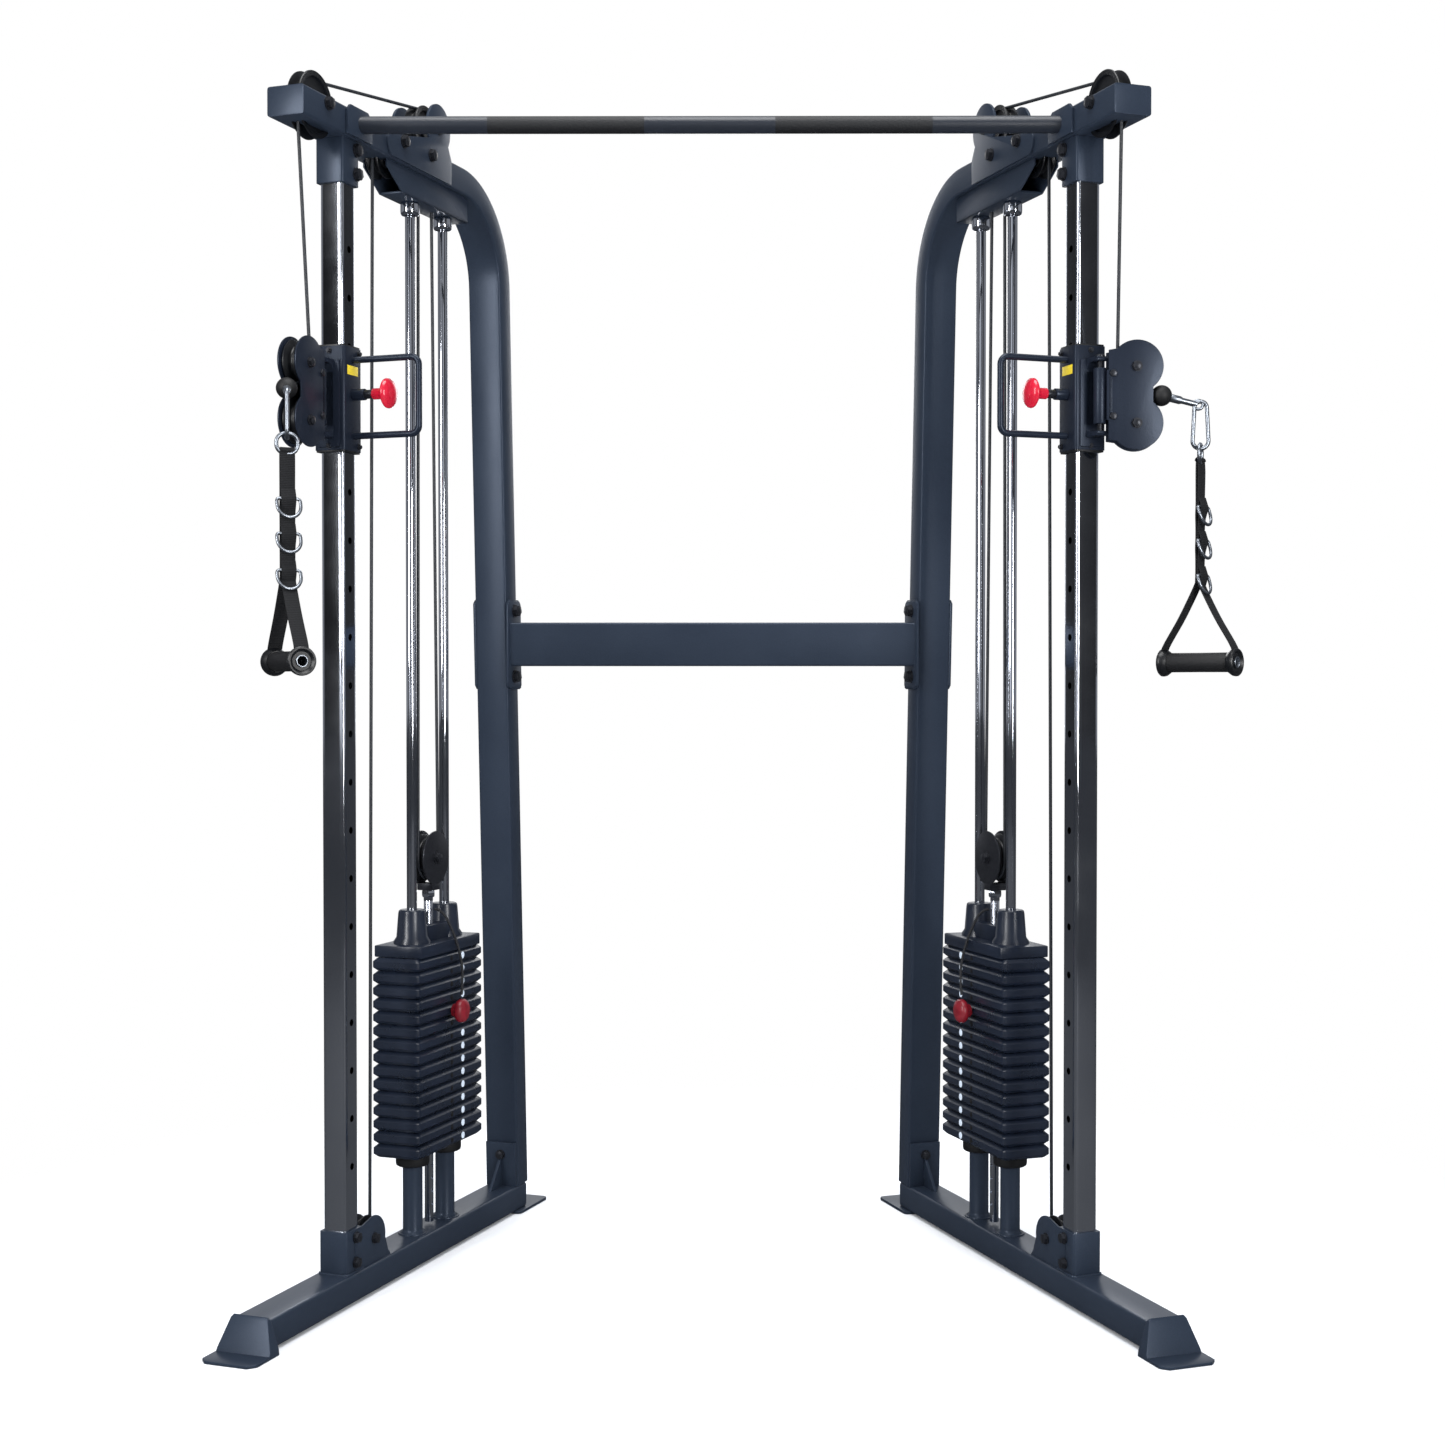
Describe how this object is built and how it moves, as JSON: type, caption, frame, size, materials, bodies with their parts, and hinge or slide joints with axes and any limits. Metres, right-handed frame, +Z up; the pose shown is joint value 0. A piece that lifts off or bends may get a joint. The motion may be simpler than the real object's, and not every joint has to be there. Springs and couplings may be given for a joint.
{
  "type": "cable crossover machine",
  "caption": "Splayed twin-frame cable crossover: weight stacks lifted by cables over pulleys, sliding swivel carriages on perforated masts, hand grips, crossmember and pull-up bar.",
  "frame": {"origin": "middle of the bounding box on the floor; the machine stands on z = 0", "axes": "+X from the left frame to the right frame as the user faces the machine, +Y from the open front to the rear crossmember, +Z up"},
  "size_m": [1.7242, 1.093, 2.1745],
  "materials": {
    "frame_paint": "dark blue-grey powder coat, light orange peel, satin",
    "chrome": "polished chrome plating",
    "black_steel": "black coated steel hardware with a bright fitting",
    "black_nylon": "moulded black nylon, satin",
    "red_plastic": "glossy red moulded plastic",
    "cable_coating": "smooth black jacket over steel rope",
    "webbing": "black woven webbing with sewn steel rings",
    "stack_paint": "black painted cast iron"
  },
  "bodies": {
    "frame": {"crossmember": "frame_paint", "pull_up_bar": "frame_paint", "base_frame_left": "frame_paint", "mast_left": "chrome", "upright_arm_left": "frame_paint", "guide_rod_front_left": "chrome", "guide_rod_rear_left": "chrome", "plates_resting_left": "stack_paint", "cable_over_left": "cable_coating", "cable_back_left": "cable_coating", "cable_loop_left": "cable_coating", "cable_front_left": "cable_coating", "cable_mast_left": "cable_coating", "base_frame_right": "frame_paint", "mast_right": "chrome", "upright_arm_right": "frame_paint", "guide_rod_front_right": "chrome", "guide_rod_rear_right": "chrome", "plates_resting_right": "stack_paint", "cable_over_right": "cable_coating", "cable_back_right": "cable_coating", "cable_loop_right": "cable_coating", "cable_front_right": "cable_coating", "cable_mast_right": "cable_coating"},
    "stack_left": {"plates_lifted_left": "stack_paint", "stack_head_left": "stack_paint", "pin_lanyard_left": "cable_coating"},
    "floating_pulley_left": {"floating_pulley_left": "black_nylon"},
    "selector_pin_left": {"selector_pin_left": "red_plastic"},
    "front_top_pulley_left": {"front_top_pulley_left": "black_nylon"},
    "rear_top_pulley_left": {"rear_top_pulley_left": "black_nylon"},
    "return_pulley_rear_left": {"return_pulley_rear_left": "black_nylon"},
    "return_pulley_front_left": {"return_pulley_front_left": "black_nylon"},
    "bottom_pulley_left": {"bottom_pulley_left": "black_nylon"},
    "carriage_left": {"carriage_left": "frame_paint"},
    "plunger_left": {"plunger_left": "red_plastic"},
    "swivel_left": {"swivel_left": "frame_paint"},
    "swivel_pulley_upper_left": {"swivel_pulley_upper_left": "black_nylon"},
    "swivel_pulley_lower_left": {"swivel_pulley_lower_left": "black_nylon"},
    "cable_end_left": {"cable_end_left": "black_steel"},
    "handle_left": {"handle_strap_left": "webbing", "handle_grip_left": "black_nylon"},
    "stack_right": {"plates_lifted_right": "stack_paint", "stack_head_right": "stack_paint", "pin_lanyard_right": "cable_coating"},
    "floating_pulley_right": {"floating_pulley_right": "black_nylon"},
    "selector_pin_right": {"selector_pin_right": "red_plastic"},
    "front_top_pulley_right": {"front_top_pulley_right": "black_nylon"},
    "rear_top_pulley_right": {"rear_top_pulley_right": "black_nylon"},
    "return_pulley_rear_right": {"return_pulley_rear_right": "black_nylon"},
    "return_pulley_front_right": {"return_pulley_front_right": "black_nylon"},
    "bottom_pulley_right": {"bottom_pulley_right": "black_nylon"},
    "carriage_right": {"carriage_right": "frame_paint"},
    "plunger_right": {"plunger_right": "red_plastic"},
    "swivel_right": {"swivel_right": "frame_paint"},
    "swivel_pulley_upper_right": {"swivel_pulley_upper_right": "black_nylon"},
    "swivel_pulley_lower_right": {"swivel_pulley_lower_right": "black_nylon"},
    "cable_end_right": {"cable_end_right": "black_steel"},
    "handle_right": {"handle_strap_right": "webbing", "handle_grip_right": "black_nylon"}
  },
  "joints": [
    {"name": "stack_lift_left", "type": "slide", "parent": "frame", "child": "stack_left", "axis": [0, 0, 1], "range_m": [0, 0.96], "deforming": ["cable_loop_left"]},
    {"name": "selector_pin_pull_left", "type": "slide", "parent": "stack_left", "child": "selector_pin_left", "axis": [0.9432, -0.3322, 0], "range_m": [0, 0.07]},
    {"name": "floating_pulley_spin_left", "type": "hinge", "parent": "stack_left", "child": "floating_pulley_left", "pos_m": [-0.58983, 0.11446, 0.757], "axis": [0.9432, -0.3322, 0], "continuous": true},
    {"name": "front_top_pulley_spin_left", "type": "hinge", "parent": "frame", "child": "front_top_pulley_left", "pos_m": [-0.72835, -0.27886, 2.0705], "axis": [0.9432, -0.3322, 0], "continuous": true},
    {"name": "rear_top_pulley_spin_left", "type": "hinge", "parent": "frame", "child": "rear_top_pulley_left", "pos_m": [-0.59714, 0.09371, 2.1295], "axis": [0.9432, -0.3322, 0], "continuous": true},
    {"name": "return_pulley_rear_spin_left", "type": "hinge", "parent": "frame", "child": "return_pulley_rear_left", "pos_m": [-0.61076, 0.05504, 2.039], "axis": [0.9432, -0.3322, 0], "continuous": true},
    {"name": "return_pulley_front_spin_left", "type": "hinge", "parent": "frame", "child": "return_pulley_front_left", "pos_m": [-0.64796, -0.0506, 2.039], "axis": [0.9432, -0.3322, 0], "continuous": true},
    {"name": "bottom_pulley_spin_left", "type": "hinge", "parent": "frame", "child": "bottom_pulley_left", "pos_m": [-0.6762, -0.13078, 0.098], "axis": [0.9432, -0.3322, 0], "continuous": true},
    {"name": "carriage_slide_left", "type": "slide", "parent": "frame", "child": "carriage_left", "axis": [0, 0, 1], "range_m": [-1.0116, 0.2529], "deforming": ["cable_front_left", "cable_mast_left"]},
    {"name": "plunger_pull_left", "type": "slide", "parent": "carriage_left", "child": "plunger_left", "axis": [0.9432, -0.3322, 0], "range_m": [0, 0.012], "stiffness_N_per_m": 900, "springref_m": -0.004},
    {"name": "swivel_turn_left", "type": "hinge", "parent": "carriage_left", "child": "swivel_left", "pos_m": [-0.71938, -0.25339, 1.5803], "axis": [0, 0, 1], "range_deg": [-90, 90]},
    {"name": "swivel_pulley_upper_spin_left", "type": "hinge", "parent": "swivel_left", "child": "swivel_pulley_upper_left", "pos_m": [-0.73931, -0.30999, 1.6288], "axis": [0.9432, -0.3322, 0], "continuous": true},
    {"name": "swivel_pulley_lower_spin_left", "type": "hinge", "parent": "swivel_left", "child": "swivel_pulley_lower_left", "pos_m": [-0.73931, -0.30999, 1.5318], "axis": [0.9432, -0.3322, 0], "continuous": true},
    {"name": "handle_pull_left", "type": "slide", "parent": "swivel_left", "child": "cable_end_left", "axis": [-0.3322, -0.9432, 0], "range_m": [0, 1.92]},
    {"name": "handle_swing_left", "type": "hinge", "parent": "cable_end_left", "child": "handle_left", "pos_m": [-0.73942, -0.41639, 1.5058], "axis": [0.9759, 0.2181, 0], "range_deg": [-60, 18]},
    {"name": "stack_lift_right", "type": "slide", "parent": "frame", "child": "stack_right", "axis": [0, 0, 1], "range_m": [0, 0.96], "deforming": ["cable_loop_right"]},
    {"name": "selector_pin_pull_right", "type": "slide", "parent": "stack_right", "child": "selector_pin_right", "axis": [-0.9432, -0.3322, 0], "range_m": [0, 0.07]},
    {"name": "floating_pulley_spin_right", "type": "hinge", "parent": "stack_right", "child": "floating_pulley_right", "pos_m": [0.4904, 0.11446, 0.757], "axis": [-0.9432, -0.3322, 0], "continuous": true},
    {"name": "front_top_pulley_spin_right", "type": "hinge", "parent": "frame", "child": "front_top_pulley_right", "pos_m": [0.62891, -0.27886, 2.0705], "axis": [-0.9432, -0.3322, 0], "continuous": true},
    {"name": "rear_top_pulley_spin_right", "type": "hinge", "parent": "frame", "child": "rear_top_pulley_right", "pos_m": [0.49771, 0.09371, 2.1295], "axis": [-0.9432, -0.3322, 0], "continuous": true},
    {"name": "return_pulley_rear_spin_right", "type": "hinge", "parent": "frame", "child": "return_pulley_rear_right", "pos_m": [0.51133, 0.05504, 2.039], "axis": [-0.9432, -0.3322, 0], "continuous": true},
    {"name": "return_pulley_front_spin_right", "type": "hinge", "parent": "frame", "child": "return_pulley_front_right", "pos_m": [0.54853, -0.0506, 2.039], "axis": [-0.9432, -0.3322, 0], "continuous": true},
    {"name": "bottom_pulley_spin_right", "type": "hinge", "parent": "frame", "child": "bottom_pulley_right", "pos_m": [0.57676, -0.13078, 0.098], "axis": [-0.9432, -0.3322, 0], "continuous": true},
    {"name": "carriage_slide_right", "type": "slide", "parent": "frame", "child": "carriage_right", "axis": [0, 0, 1], "range_m": [-1.0116, 0.2529], "deforming": ["cable_front_right", "cable_mast_right"]},
    {"name": "plunger_pull_right", "type": "slide", "parent": "carriage_right", "child": "plunger_right", "axis": [-0.9432, -0.3322, 0], "range_m": [0, 0.012], "stiffness_N_per_m": 900, "springref_m": -0.004},
    {"name": "swivel_turn_right", "type": "hinge", "parent": "carriage_right", "child": "swivel_right", "pos_m": [0.61994, -0.25339, 1.5803], "axis": [0, 0, 1], "range_deg": [-158, 22]},
    {"name": "swivel_pulley_upper_spin_right", "type": "hinge", "parent": "swivel_right", "child": "swivel_pulley_upper_right", "pos_m": [0.67988, -0.25612, 1.6288], "axis": [-0.0454, -0.999, 0], "continuous": true},
    {"name": "swivel_pulley_lower_spin_right", "type": "hinge", "parent": "swivel_right", "child": "swivel_pulley_lower_right", "pos_m": [0.67988, -0.25612, 1.5318], "axis": [-0.0454, -0.999, 0], "continuous": true},
    {"name": "handle_pull_right", "type": "slide", "parent": "swivel_right", "child": "cable_end_right", "axis": [0.999, -0.0454, 0], "range_m": [0, 1.92]},
    {"name": "handle_swing_right", "type": "hinge", "parent": "cable_end_right", "child": "handle_right", "pos_m": [0.79027, -0.26113, 1.5058], "axis": [-0.0454, -0.999, 0], "range_deg": [-18, 60]}
  ],
  "couplings": [
    {"joint": "handle_pull_left", "follows": "stack_lift_left", "ratio": 2},
    {"joint": "handle_pull_right", "follows": "stack_lift_right", "ratio": 2}
  ]
}
